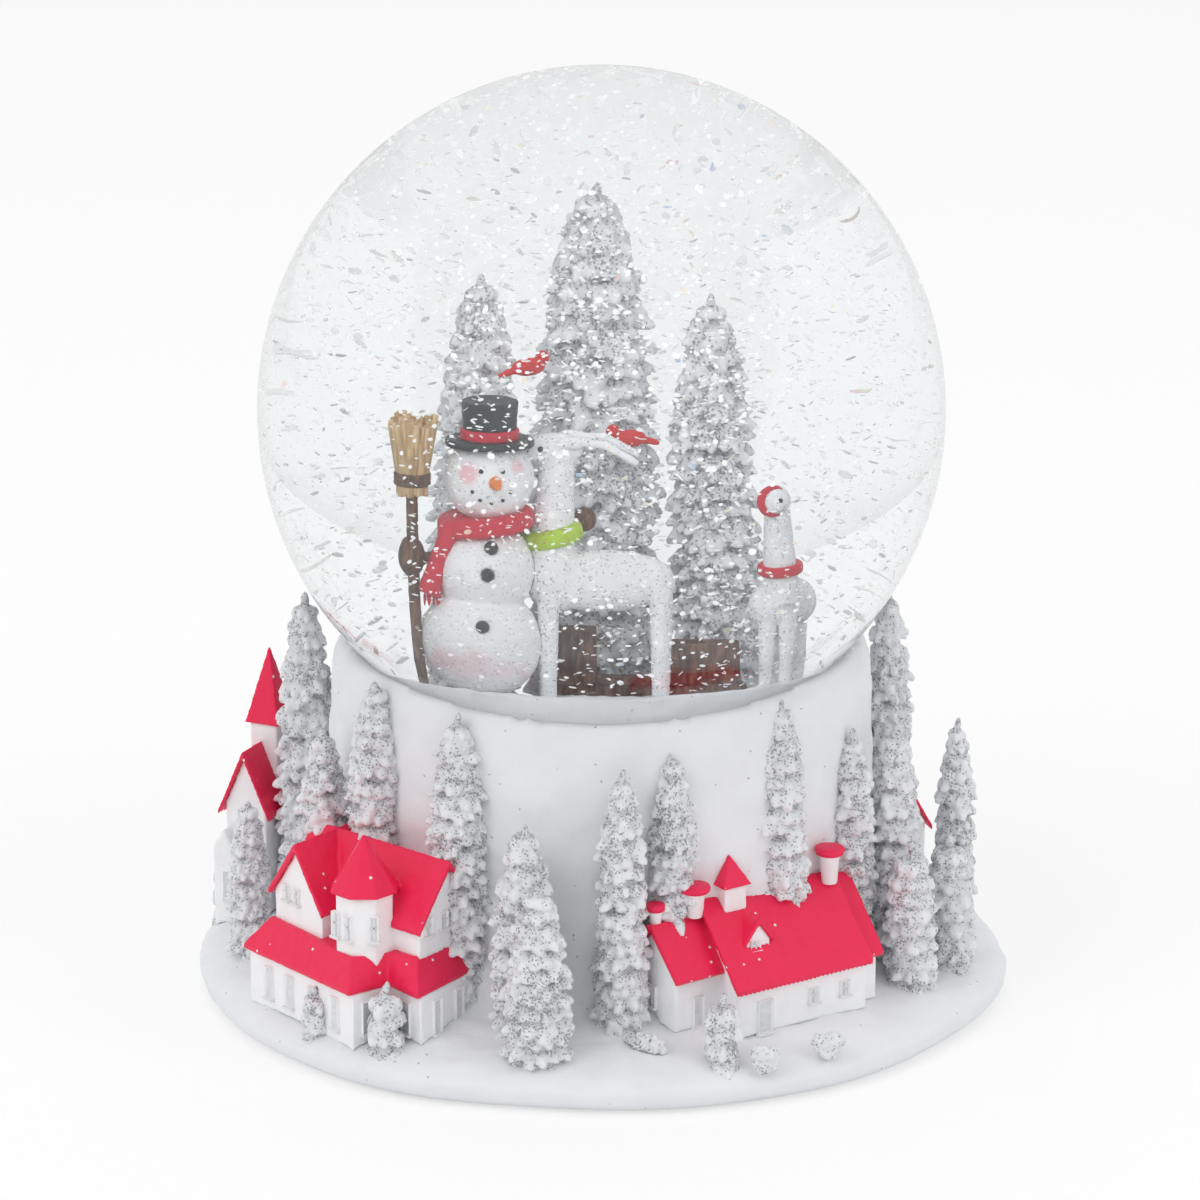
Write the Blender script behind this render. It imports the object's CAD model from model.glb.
import functools
import math
import random

import bpy
import numpy as np
from mathutils import Matrix, Vector


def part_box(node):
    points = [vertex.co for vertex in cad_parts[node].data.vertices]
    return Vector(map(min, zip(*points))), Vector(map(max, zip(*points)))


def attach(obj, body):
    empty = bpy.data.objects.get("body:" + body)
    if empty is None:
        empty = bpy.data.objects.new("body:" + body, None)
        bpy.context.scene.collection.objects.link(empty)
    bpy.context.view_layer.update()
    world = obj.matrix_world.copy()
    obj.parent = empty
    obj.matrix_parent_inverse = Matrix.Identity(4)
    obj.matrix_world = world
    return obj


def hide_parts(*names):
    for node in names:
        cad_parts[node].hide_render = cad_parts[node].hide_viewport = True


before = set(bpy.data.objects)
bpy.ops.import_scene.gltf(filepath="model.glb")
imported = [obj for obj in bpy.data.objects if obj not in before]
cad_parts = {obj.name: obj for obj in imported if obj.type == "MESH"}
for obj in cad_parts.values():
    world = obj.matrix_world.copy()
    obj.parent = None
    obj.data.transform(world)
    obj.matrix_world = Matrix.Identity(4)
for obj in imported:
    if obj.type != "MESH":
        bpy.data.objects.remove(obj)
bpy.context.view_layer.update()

bl_info = {
    "name": "Village snow globe",
    "version": (1, 0, 0),
    "blender": (4, 5, 0),
    "location": "3D View > Sidebar > Snow Globe",
    "description": "Dresses the snow globe: cast village, firs, ball of water, figures and wind-up movement",
    "category": "Object",
}

MM = 0.001

# How close points are merged: of new forms, and of the CAD nodes' loose triangles.
MERGE = 0.01 * MM
CAD_MERGE = 0.002 * MM

# Sizes read from the frame.
BALL_LOW, BALL_HIGH = (Vector(corner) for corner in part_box("globe_glass"))
BALL_R = (BALL_HIGH.x - BALL_LOW.x) / 2
BALL_Z = BALL_HIGH.z - BALL_R
WATER_LOW, WATER_HIGH = (Vector(corner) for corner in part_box("liquid"))
WATER_R = (WATER_HIGH.x - WATER_LOW.x) / 2
PLUG_LOW, PLUG_HIGH = (Vector(corner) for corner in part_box("rubber_plug"))
NECK_R = (PLUG_HIGH.x - PLUG_LOW.x) / 2
GROUND_LOW, GROUND_HIGH = (Vector(corner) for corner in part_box("scene_ground"))


# ---------------------------------------------------------------- sizes and colours a user may change

class SnowGlobeSizes(bpy.types.PropertyGroup):
    flakes: bpy.props.IntProperty(name="Flakes", description="How many loose flakes float in the ball",
                                  default=8600, min=0)
    flake_side: bpy.props.FloatProperty(name="Flake", description="Width of one flake", default=0.80 * MM,
                                        unit="LENGTH", subtype="DISTANCE")
    bough_width: bpy.props.FloatProperty(name="Bough", description="Width of one bough of a fir",
                                         default=2.4 * MM, unit="LENGTH", subtype="DISTANCE")
    tier_height: bpy.props.FloatProperty(name="Tier", description="Rise from one ring of boughs to the next",
                                         default=2.5 * MM, unit="LENGTH", subtype="DISTANCE")
    fir_grain: bpy.props.FloatProperty(name="Fir grain", description="Size of the smallest form in a fir",
                                       default=0.36 * MM, unit="LENGTH", subtype="DISTANCE")


class SnowGlobeColours(bpy.types.PropertyGroup):
    snow: bpy.props.FloatVectorProperty(name="Snow", description="Colour of the cast snow", size=4,
                                        default=(0.83, 0.845, 0.87, 1), subtype="COLOR")
    shade: bpy.props.FloatVectorProperty(name="Shade", description="Cool tone in the snow's hollows", size=4,
                                         default=(0.60, 0.63, 0.68, 1), subtype="COLOR")
    roof: bpy.props.FloatVectorProperty(name="Roof", description="Paint of the roofs", size=4,
                                        default=(0.84, 0.010, 0.075, 1), subtype="COLOR")
    scarf: bpy.props.FloatVectorProperty(name="Scarf", description="Paint of the snowman's scarf", size=4,
                                         default=(0.60, 0.012, 0.040, 1), subtype="COLOR")
    lime: bpy.props.FloatVectorProperty(name="Deer scarf", description="Paint of the deer's scarf", size=4,
                                        default=(0.42, 0.62, 0.045, 1), subtype="COLOR")
    silver: bpy.props.FloatVectorProperty(name="Glitter", description="Dark side of the glitter", size=4,
                                          default=(0.20, 0.205, 0.225, 1), subtype="COLOR")


class SnowGlobeStudio(bpy.types.PropertyGroup):
    reach: bpy.props.FloatProperty(name="Camera distance", description="From the camera to the ball's middle",
                                   default=0.9, unit="LENGTH", subtype="DISTANCE")
    rise: bpy.props.FloatProperty(name="Camera rise", description="Angle of the camera above the ball",
                                  default=math.radians(15.0), subtype="ANGLE")
    pitch: bpy.props.FloatProperty(name="Camera pitch", description="How far the camera looks down",
                                   default=math.radians(17.11), subtype="ANGLE")
    focal: bpy.props.FloatProperty(name="Focal length", description="Focal length in millimetres",
                                   default=154.7)
    daylight: bpy.props.FloatProperty(name="Daylight", description="Strength of the light from all round",
                                      default=0.62)


# ---------------------------------------------------------------- work with pieces

def only(*pieces):
    """Selects these pieces and nothing else."""
    bpy.ops.object.select_all(action="DESELECT")
    for piece in pieces:
        piece.select_set(True)
    bpy.context.view_layer.objects.active = pieces[0]


def active(name=None):
    piece = bpy.context.view_layer.objects.active
    if name:
        piece.name = name
        piece.data.name = name
    return piece


def linked(name, mesh):
    """A new piece of the scene with this mesh."""
    piece = bpy.data.objects.new(name, mesh)
    bpy.context.scene.collection.objects.link(piece)
    return piece


def added(name, primitive, **settings):
    """A new primitive, and nothing else selected."""
    bpy.ops.object.select_all(action="DESELECT")
    primitive(**settings)
    return active(name)


def points_of(piece):
    return np.array([vertex.co for vertex in piece.data.vertices])


def settle(piece):
    """Moves a piece's place and turn into its mesh."""
    only(piece)
    bpy.ops.object.transform_apply(location=True, rotation=True, scale=True)
    return piece


def modify(piece, kind, **settings):
    """Adds a modifier and applies it."""
    only(piece)
    modifier = piece.modifiers.new(kind.title(), kind)
    for key, value in settings.items():
        setattr(modifier, key, value)
    bpy.ops.object.modifier_apply(modifier=modifier.name)


def recast(piece, grain):
    """Makes one closed skin of a piece, in steps of the grain."""
    modify(piece, "REMESH", mode="VOXEL", voxel_size=grain)


def rub_down(piece, rounds):
    modify(piece, "SMOOTH", factor=0.5, iterations=rounds)


def ease_edges(piece, width, segments=2):
    modify(piece, "BEVEL", width=width, segments=segments, limit_method="ANGLE")


def edit(piece, *steps):
    """Runs edit-mode steps on a piece with everything selected first."""
    only(piece)
    bpy.ops.object.mode_set(mode="EDIT")
    choose_all()
    for step in steps:
        step()
    bpy.ops.object.mode_set(mode="OBJECT")
    return piece


def choose(piece, kind, test):
    """In edit mode, selects only the "vertices", "edges" or "polygons" of a piece that pass a test."""
    bpy.ops.mesh.select_all(action="DESELECT")
    bpy.ops.object.mode_set(mode="OBJECT")
    for element in getattr(piece.data, kind):
        element.select = test(element)
    bpy.ops.object.mode_set(mode="EDIT")


def choose_all():
    bpy.ops.mesh.select_all(action="SELECT")


def heal():
    """Merges doubles and turns the faces outwards."""
    bpy.ops.mesh.remove_doubles(threshold=MERGE)
    bpy.ops.mesh.normals_make_consistent(inside=False)


def joined(name, pieces):
    only(*pieces)
    if len(pieces) > 1:
        bpy.ops.object.join()
    return active(name)


def cad_copy(name, node):
    """A new piece with the shape of a CAD node, merged along its edges."""
    piece = joined(name, [linked(name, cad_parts[node].data.copy())])
    piece.data.materials.clear()
    return edit(piece, lambda: bpy.ops.mesh.remove_doubles(threshold=CAD_MERGE))


def soften(piece, grain, rounds, ripple, ripple_size):
    """Gives a piece the soft edges of a casting, and a faint unevenness."""
    recast(piece, grain)
    rub_down(piece, rounds)
    roughen(piece, ripple, ripple_size)
    shade(piece)


def roughen(piece, depth, size, group=None, middle=0.5):
    """Lumps of a given size and depth over a piece or one group of its points; a middle of 1 only sinks."""
    clouds = bpy.data.textures.new(piece.name, "CLOUDS")
    clouds.noise_scale = size
    clouds.noise_depth = 1
    settings = {"texture": clouds, "texture_coords": "GLOBAL", "strength": depth, "mid_level": middle}
    if group:
        settings["vertex_group"] = group
    modify(piece, "DISPLACE", **settings)


def shade(piece, angle=None):
    only(piece)
    if angle is None:
        bpy.ops.object.shade_smooth()
    else:
        bpy.ops.object.shade_smooth_by_angle(angle=math.radians(angle))


def scatter(name, model, places):
    """One piece made of a copy of the model at every place."""
    points = points_of(model)
    faces = [tuple(face.vertices) for face in model.data.polygons]
    all_points = []
    all_faces = []
    for k, place in enumerate(places):
        grid = np.array(place)
        all_points.append(points @ grid[:3, :3].T + grid[:3, 3])
        all_faces += [tuple(v + k * len(points) for v in face) for face in faces]
    mesh = bpy.data.meshes.new(name)
    mesh.from_pydata(np.concatenate(all_points).tolist(), [], all_faces)
    return linked(name, mesh)


def drop(*pieces):
    for piece in pieces:
        bpy.data.objects.remove(piece)


LEVEL_TOP = 0.05 * MM


def loose_boxes(node):
    """For each separate solid of a CAD node: (axis x, axis y, foot, tip, half width)."""
    edit(cad_copy("loose", node), lambda: bpy.ops.mesh.separate(type="LOOSE"))
    places = []
    parts = [part for part in bpy.context.selected_objects if part.type == "MESH"]
    for part in parts:
        points = points_of(part)
        tip = points[points[:, 2] > points[:, 2].max() - LEVEL_TOP].mean(axis=0)
        reach = np.hypot(points[:, 0] - tip[0], points[:, 1] - tip[1]).max()
        places.append((tip[0], tip[1], points[:, 2].min(), points[:, 2].max(), reach))
    drop(*parts)
    places.sort()
    return places


# What makes a point of a CAD stand a fir's tip, and how its other points are shared out.
TIP_SPOKES = 5              # at least so many edges meet there
TIP_RISE = 0.01 * MM        # and no neighbour is higher, or level within this
TIP_GAP = 3 * MM            # closer than this, only the higher tip counts
STAND_GAP = 4 * MM          # past a gap this wide the points belong to a fir without a tip
STRAY_POINTS = 20           # which has more points than this


def pointed(node):
    """For each fir of a CAD node, found by its point: (axis x, axis y, foot, tip, half width)."""
    piece = cad_copy("loose", node)
    points = points_of(piece)
    higher = np.zeros(len(points), dtype=int)
    spokes = np.zeros(len(points), dtype=int)
    for edge in piece.data.edges:
        a, b = edge.vertices
        for one, other in ((a, b), (b, a)):
            spokes[one] += 1
            higher[one] += points[other, 2] > points[one, 2] - TIP_RISE
    tips = points[(higher == 0) & (spokes >= TIP_SPOKES)]
    tips = np.array([tip for tip in tips if not any(
        math.hypot(*(other - tip)[:2]) < TIP_GAP and other[2] > tip[2] for other in tips)])
    reach = np.hypot(points[:, None, 0] - tips[None, :, 0], points[:, None, 1] - tips[None, :, 1])
    nearest = reach.argmin(axis=1)
    places = []
    for k, tip in enumerate(tips):
        own, away = points[nearest == k], reach[nearest == k, k]
        order = away.argsort()
        steps = np.diff(away[order])
        split = int(steps.argmax()) + 1 if steps.max() > STAND_GAP else len(own)
        grown, stray = own[order[:split]], own[order[split:]]
        places.append((tip[0], tip[1], grown[:, 2].min(), tip[2], away[order[split - 1]]))
        if len(stray) > STRAY_POINTS:
            low, high = stray.min(axis=0), stray.max(axis=0)
            places.append((*(low + high)[:2] / 2, low[2], high[2], (high - low)[:2].max() / 2))
    drop(piece)
    places.sort()
    return places


def turned(name, profile, steps, at):
    """A closed form turned about Z from (radius, height) points; ends on the axis are closed."""
    mesh = bpy.data.meshes.new(name)
    mesh.from_pydata([(r, 0, z) for r, z in profile], [(k, k + 1) for k in range(len(profile) - 1)], [])
    piece = linked(name, mesh)
    edit(piece,
         lambda: bpy.ops.mesh.spin(steps=steps, angle=math.tau, center=(0, 0, 0), axis=(0, 0, 1)),
         heal)
    piece.location = at
    return settle(piece)


def lump(name, at, size, segments=20, rings=12):
    """A round lump, to be joined to others or worked further."""
    piece = added(name, bpy.ops.mesh.primitive_uv_sphere_add, segments=segments, ring_count=rings, radius=1.0,
                  location=at)
    piece.scale = size
    return settle(piece)


def slab(name, at, size, edge=0.0):
    """A block, with rounded edges if a width is given for them."""
    piece = added(name, bpy.ops.mesh.primitive_cube_add, size=1.0, location=at)
    piece.scale = size
    settle(piece)
    if edge:
        ease_edges(piece, edge)
    return piece


def rod(name, start, end, r0, r1, sides):
    """A tapered round bar between two points."""
    start, end = Vector(start), Vector(end)
    run = end - start
    piece = added(name, bpy.ops.mesh.primitive_cone_add, vertices=sides, radius1=r0, radius2=r1,
                  depth=run.length)
    along = run.to_track_quat("Z", "Y").to_matrix().to_4x4()
    piece.matrix_world = Matrix.Translation((start + end) / 2) @ along
    return settle(piece)


# The pieces under water: a lamp of their own makes up for the light that the glass turns away.
IN_THE_BALL = bpy.data.collections.new("in_the_ball")
UNDER_WATER_Z = WATER_LOW.z - 0.5 * MM


def put_on(mesh, material):
    mesh.materials.clear()
    mesh.materials.append(material)


def finish_piece(piece, slot, material, *nodes):
    """Puts the paint on a piece, rides it on the globe and hides the CAD nodes that it stands for."""
    put_on(piece.data, material)
    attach(piece, "globe")
    if nodes:
        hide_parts(*nodes)
    if slot not in ("globe_glass", "liquid") and points_of(piece)[:, 2].min() > UNDER_WATER_Z:
        IN_THE_BALL.objects.link(piece)
    return piece


def paint_node(node, material):
    """A CAD node that stays as it is gets its own paint."""
    put_on(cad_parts[node].data, material)


# ---------------------------------------------------------------- paint

WHITE = (1, 1, 1, 1)


class Term:
    """A shader socket that stands in arithmetic."""

    def __init__(self, paint, socket):
        self.paint = paint
        self.socket = socket

    def math(self, operation, first, second=0.0):
        return self.paint.node("ShaderNodeMath", {"operation": operation}, {0: first, 1: second})

    def __add__(self, other):
        return self.math("ADD", self, other)

    def __rsub__(self, other):
        return self.math("SUBTRACT", other, self)

    def __mul__(self, other):
        return self.math("MULTIPLY", self, other)

    __radd__ = __add__
    __rmul__ = __mul__

    def above(self, level):
        return self.math("GREATER_THAN", self, level)

    def or_more(self, other):
        return self.math("MAXIMUM", self, other)

    def step(self, low, high):
        return self.paint.node("ShaderNodeMapRange", {"interpolation_type": "SMOOTHSTEP"},
                               {"Value": self, "From Min": low, "From Max": high})


class Paint:
    """A material being mixed, or the light of the world."""

    def __init__(self, name, kind="materials"):
        self.owner = getattr(bpy.data, kind).new(name)
        self.owner.use_nodes = True
        self.tree = self.owner.node_tree
        self.tree.nodes.clear()

    @functools.cached_property
    def place(self):
        return self.node("ShaderNodeTexCoord", output="Object")

    def node(self, kind, settings=None, inputs=None, output=0):
        node = self.tree.nodes.new(kind)
        for key, value in (settings or {}).items():
            if key == "stops":
                ramp = node.color_ramp
                while len(ramp.elements) < len(value):
                    ramp.elements.new(0.5)
                for element, (position, colour) in zip(ramp.elements, value):
                    element.position = position
                    element.color = colour
            else:
                setattr(node, key, value)
        for key, value in (inputs or {}).items():
            if isinstance(value, Term):
                self.tree.links.new(value.socket, node.inputs[key])
            else:
                node.inputs[key].default_value = value
        return None if output is None else Term(self, node.outputs[output])

    def noise(self, size, detail=2.0, stretch=None):
        """Soft noise with blobs of about the given size in metres."""
        place = self.place
        if stretch:
            place = self.node("ShaderNodeMapping", None, {"Vector": place, "Scale": stretch})
        return self.node("ShaderNodeTexNoise", None, {"Vector": place, "Scale": 1.0 / size, "Detail": detail})

    def cells(self, size, output="Color"):
        return self.node("ShaderNodeTexVoronoi", None, {"Vector": self.place, "Scale": 1.0 / size}, output)

    def channel(self, colour, name):
        return self.node("ShaderNodeSeparateColor", None, {"Color": colour}, name)

    def mix(self, factor, first, second):
        return self.node("ShaderNodeMix", {"data_type": "RGBA"}, {0: factor, 6: first, 7: second}, 2)

    def vector(self, operation, inputs, output=0):
        return self.node("ShaderNodeVectorMath", {"operation": operation}, inputs, output)

    def facets(self, size):
        """Height of small flat flakes, each tilted its own way."""
        centred = self.vector("SUBTRACT", {0: self.cells(size), 1: (0.5, 0.5, 0.5)})
        scaled = self.vector("SCALE", {0: self.place, "Scale": 1.0 / size})
        away = self.vector("SUBTRACT", {0: scaled, 1: self.cells(size, "Position")})
        return self.vector("DOT_PRODUCT", {0: centred, 1: away}, "Value")

    def bump(self, height, distance, strength=1.0, onto=None):
        inputs = {"Height": height, "Distance": distance, "Strength": strength}
        if onto is not None:
            inputs["Normal"] = onto
        return self.node("ShaderNodeBump", None, inputs)

    def surface(self, **inputs):
        """Closes the material with one principled shader."""
        shader = self.node("ShaderNodeBsdfPrincipled", None, {key.replace("_", " "): value
                                                              for key, value in inputs.items()})
        return self.closed(shader)

    def closed(self, shader, kind="ShaderNodeOutputMaterial"):
        """Ends in a shader, and gives back the material or world."""
        self.node(kind, None, {"Surface": shader}, None)
        return self.owner


PAINTS = {}


def paint(recipe, *args):
    """Each paint is mixed once."""
    key = (recipe.__name__,) + args
    if key not in PAINTS:
        PAINTS[key] = recipe(*args)
    return PAINTS[key]


def chosen(name):
    """A colour that the user may change."""
    return tuple(getattr(bpy.context.scene.snow_globe_colours, name))


def sizes():
    return bpy.context.scene.snow_globe_sizes


def studio():
    return bpy.context.scene.snow_globe_studio


def cast_snow():
    """Matte white resin: faint cool clouds, fine grain and a few stray specks of glitter."""
    mix = Paint("cast_snow")
    tone = mix.noise(9 * MM, 3.0).step(0.35, 0.75)
    colour = mix.mix(tone * 0.16, chosen("snow"), chosen("shade"))
    speck = mix.cells(0.34 * MM)
    stray = mix.channel(speck, "Red").above(0.9988)
    colour = mix.mix(stray * 0.5, colour, chosen("silver"))
    grain = mix.noise(0.5 * MM, 3.0) * 0.6 + mix.noise(2.2 * MM, 2.0)
    normal = mix.bump(grain, 0.10 * MM, 0.55)
    return mix.surface(Base_Color=colour, Roughness=0.62 - stray * 0.4, Normal=normal)


def fir_frost():
    """Snow on the boughs, grey in the hollows and glittering silver in patches."""
    mix = Paint("fir_frost")
    hollow = mix.node("ShaderNodeAttribute", {"attribute_name": "hollow"}, None, "Fac")
    cell = mix.cells(0.28 * MM)
    chance = mix.channel(cell, "Red")
    bright = mix.channel(cell, "Green")
    patch = mix.noise(6.0 * MM, 2.0).step(0.46, 0.62)
    fine = mix.noise(1.1 * MM, 2.0).step(0.35, 0.7)
    depth = (hollow * 0.85 + fine * 0.18 + patch * 0.10).step(0.15, 1.0)
    snow = mix.mix(depth * 0.42, chosen("snow"), (0.42, 0.425, 0.45, 1))
    glitter = (chance + depth * 0.38 + patch * 0.26).above(0.985)
    flake = mix.mix(bright.step(0.30, 0.80), chosen("silver"), (0.88, 0.89, 0.91, 1))
    colour = mix.mix(glitter * 0.72, snow, flake)
    lumps = mix.noise(0.5 * MM, 3.0)
    normal = mix.bump(lumps, 0.20 * MM, 0.8)
    normal = mix.bump(mix.facets(0.28 * MM) * glitter, 0.12 * MM, 0.8, normal)
    return mix.surface(Base_Color=colour, Roughness=0.62 - glitter * 0.34, Metallic=glitter * 0.35,
                       Normal=normal)


def roof_paint():
    """Hand-laid red paint with a soft sheen, brush unevenness and caught flecks of white."""
    mix = Paint("roof_paint")
    red = chosen("roof")
    worn = mix.noise(4.0 * MM, 3.0).step(0.35, 0.8)
    colour = mix.mix(worn * 0.30, red, (0.92, 0.035, 0.120, 1))
    fleck = mix.cells(1.9 * MM, "Distance")
    rare = mix.channel(mix.cells(1.9 * MM), "Blue").above(0.80)
    dot = (1 - fleck.step(0.10, 0.17)) * rare
    colour = mix.mix(dot, colour, (0.90, 0.88, 0.90, 1))
    brush = mix.noise(1.4 * MM, 3.0) + mix.noise(0.35 * MM, 2.0) * 0.3
    normal = mix.bump(brush + dot * 1.5, 0.07 * MM, 0.6)
    return mix.surface(Base_Color=colour, Roughness=worn * 0.10 + 0.42, Normal=normal)


def wall_paint():
    """White wall paint over resin."""
    mix = Paint("wall_paint")
    tone = mix.noise(3.0 * MM, 3.0).step(0.3, 0.8)
    colour = mix.mix(tone * 0.12, (0.93, 0.935, 0.945, 1), chosen("shade"))
    normal = mix.bump(mix.noise(0.7 * MM, 3.0), 0.06 * MM, 0.5)
    return mix.surface(Base_Color=colour, Roughness=tone * 0.1 + 0.55, Normal=normal)


def pane_paint():
    """The shaded panes and doors."""
    mix = Paint("pane_paint")
    tone = mix.noise(1.2 * MM, 2.0)
    colour = mix.mix(tone.step(0.3, 0.7), (0.66, 0.68, 0.71, 1), (0.76, 0.775, 0.80, 1))
    return mix.surface(Base_Color=colour, Roughness=tone * 0.2 + 0.4)


def plain_paint(name, red, green, blue, roughness, shift, size):
    """A hand-laid paint of one colour, uneven in tone and gloss."""
    mix = Paint(name)
    tone = mix.noise(size * MM, 3.0).step(0.3, 0.75)
    lighter = [min(1, channel * 1.5 + 0.03) for channel in (red, green, blue)]
    colour = mix.mix(tone * shift, (red, green, blue, 1), (*lighter, 1))
    normal = mix.bump(mix.noise(0.4 * MM, 3.0), 0.05 * MM, 0.6)
    return mix.surface(Base_Color=colour, Roughness=tone * 0.12 + (roughness - 0.06), Normal=normal)


def clear_glass(name, index, tint):
    """Clear glass or water that lets the lamps through."""
    mix = Paint(name)
    glass = mix.node("ShaderNodeBsdfPrincipled", None, {
        "Base Color": (*tint, 1), "Roughness": 0.0, "IOR": index, "Transmission Weight": 1.0})
    through = mix.node("ShaderNodeBsdfTransparent", None, {"Color": WHITE})
    shadow = mix.node("ShaderNodeLightPath", output="Is Shadow Ray")
    return mix.closed(mix.node("ShaderNodeMixShader", None, {0: shadow, 1: glass, 2: through}))


# ---------------------------------------------------------------- cast base

COLLAR_WALL = 3.5 * MM      # the inside of the casting stays smooth out to here
DRIFT_FADE = 2 * MM         # over which the drifts grow to their full height


def make_base():
    """The snowy casting: soft edges, and low drifts on everything that faces out."""
    piece = cad_copy("snowy_base", "base_shell")
    recast(piece, 0.95 * MM)
    rub_down(piece, 2)
    outside = piece.vertex_groups.new(name="outside")
    chamber = NECK_R + COLLAR_WALL
    for vertex in piece.data.vertices:
        point = vertex.co
        past_chamber = math.hypot(point.x, point.y) - chamber
        past_seat = (point - Vector((0, 0, BALL_Z))).length - BALL_R
        past_rest = point.z - DRIFT_FADE / 2
        free = min(past_chamber, past_seat, past_rest) / DRIFT_FADE
        outside.add([vertex.index], min(1, max(0, free)), "REPLACE")
    roughen(piece, 0.9 * MM, 7 * MM, "outside")
    roughen(piece, 0.35 * MM, 1.8 * MM, "outside")
    shade(piece)
    finish_piece(piece, "snow_resin", paint(cast_snow), "base_shell")


def make_bushes():
    """Clipped hedges under lumpy snow."""
    piece = cad_copy("bushes_in_snow", "bushes")
    recast(piece, 0.3 * MM)
    roughen(piece, 1.8 * MM, 2.6 * MM, middle=0.75)
    roughen(piece, 1.1 * MM, 0.9 * MM)
    rub_down(piece, 1)
    hollow_of(piece, lambda points: np.full(len(points), 0.35))
    shade(piece)
    finish_piece(piece, "snow_resin", paint(fir_frost), "bushes")


# ---------------------------------------------------------------- firs

def hollow_of(piece, rule):
    """Writes how deep in the boughs each point lies, from 0 at the tips to 1 at the trunk."""
    points = points_of(piece)
    attribute = piece.data.attributes.new("hollow", "FLOAT", "POINT")
    attribute.data.foreach_set("value", np.clip(rule(points), 0, 1).astype(np.float32))


# A fir's outline: the drop over which it widens, at most and as a share of its height, and its blunt tip.
SWELL = 9 * MM
SWELL_SHARE = 0.22
BLUNT = 0.9 * MM


def envelope(drop, height, skirt):
    """Reach of the boughs at a drop below the tip: it widens quickly, then runs nearly straight down."""
    return skirt * (1 - np.exp(-(drop + BLUNT) / min(SWELL, SWELL_SHARE * height)))


def bough():
    """One plump bough laden with snow: a lump drawn out, pinched at the trunk and drooping at the tip."""
    piece = lump("bough", (0.5, 0, 0), (0.56, 0.5, 0.42), segments=14, rings=8)

    def pull(part, transform, value):
        return lambda: (choose(piece, "vertices", part), transform(value=value))

    edit(piece,
         pull(lambda v: v.co.x < 0.3, bpy.ops.transform.resize, (1, 0.55, 0.7)),
         pull(lambda v: v.co.x > 0.72, bpy.ops.transform.translate, (0, 0, -0.11)),
         pull(lambda v: v.co.x > 0.9, bpy.ops.transform.translate, (-0.03, 0, -0.07)))
    return piece


CROWN_ROOM = 3.2 * MM       # the rings of boughs end this far below the tip
CROWN = (4.4 * MM, 1.7 * MM, 1.7 * MM)
CROWN_FOOT = 4.6 * MM       # and the crown's lump starts here
STEM_ROOM = 6 * MM          # the trunk ends this far below the tip
HOLLOW_DEPTH = 0.42         # share of the reach from the tips to full shade
FACES_KEPT = 0.42


def grow_fir(name, model, height, skirt, seed):
    """A fir of snow-laden boughs in rings, grown round the Z axis from the origin."""
    rng = random.Random(seed)
    wide = sizes().bough_width
    places = []
    level = turned_by = 0.0
    while level < height - CROWN_ROOM:
        reach = envelope(height - level, height, skirt)
        close = min(1.0, 0.42 + 0.75 * reach / skirt)
        around = max(5, round(math.tau * reach * 0.86 / (wide * close)))
        turned_by += 0.5 / around
        for k in range(around):
            turn = math.tau * (turned_by + (k + rng.uniform(-0.16, 0.16)) / around)
            length = reach * rng.uniform(0.84, 1.08)
            breadth = wide * close * rng.uniform(0.85, 1.2)
            lift = rng.uniform(0.8, 1.6) * close * MM
            droop = rng.uniform(0.15, 0.40)
            shape = Matrix.Diagonal((length, breadth, wide * close * 1.1, 1))
            places.append(Matrix.Translation((0, 0, level + lift)) @ Matrix.Rotation(turn, 4, "Z")
                          @ Matrix.Rotation(droop, 4, "Y") @ shape)
        level += sizes().tier_height * close
    crown = Matrix.Translation((0, 0, height - CROWN_FOOT)) @ Matrix.Rotation(-math.pi / 2, 4, "Y")
    places.append(crown @ Matrix.Diagonal((*CROWN, 1)))
    boughs = scatter(name, model, places)
    trunk = rod("trunk", (0, 0, 0), (0, 0, height - STEM_ROOM), skirt * 0.62,
                envelope(STEM_ROOM, height, skirt) * 0.5, 16)
    piece = joined(name, [boughs, trunk])
    recast(piece, sizes().fir_grain)
    roughen(piece, 0.60 * MM, 1.1 * MM)
    rub_down(piece, 1)
    modify(piece, "DECIMATE", ratio=FACES_KEPT)

    def depth(points):
        below = np.clip(height - points[:, 2], 0, height)
        return (1.0 - np.hypot(points[:, 0], points[:, 1]) / envelope(below, height, skirt)) / HOLLOW_DEPTH

    hollow_of(piece, depth)
    return piece


# Fir models by height and half width in millimetres; the nearest in height serves each place.
FIR_MODELS = [(12, 3.8), (25, 4.6), (33, 6.0), (46, 5.4), (56, 6.2)]
STANDS = {"firs_left": "firs_at_left", "firs_front": "firs_in_front", "firs_right": "firs_at_right",
          "firs_back": "firs_behind", "firs_small": "small_firs"}


def grow_models(name, rows, seed):
    """The fir models of these heights and half widths in millimetres: (height, half width, piece)."""
    model = bough()
    models = [(h * MM, r * MM, grow_fir(name, model, h * MM, r * MM, seed + k))
              for k, (h, r) in enumerate(rows)]
    drop(model)
    return models


def plant(name, node, models, slot, rng):
    """Sets a fir of the nearest model on every place of a CAD stand."""
    planted = []
    for x, y, foot, tip, skirt in pointed(node):
        height = tip - foot
        model = min(models, key=lambda m: abs(m[0] - height))
        grow = Matrix.Diagonal((skirt / model[1], skirt / model[1], height / model[0], 1))
        tree = linked(name, model[2].data.copy())
        tree.data.transform(
            Matrix.Translation((x, y, foot)) @ Matrix.Rotation(rng.uniform(0, math.tau), 4, "Z") @ grow)
        planted.append(tree)
    if not planted:
        raise RuntimeError(f"no fir found in {node}")
    piece = joined(name, planted)
    shade(piece)
    finish_piece(piece, slot, paint(fir_frost), node)


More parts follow.
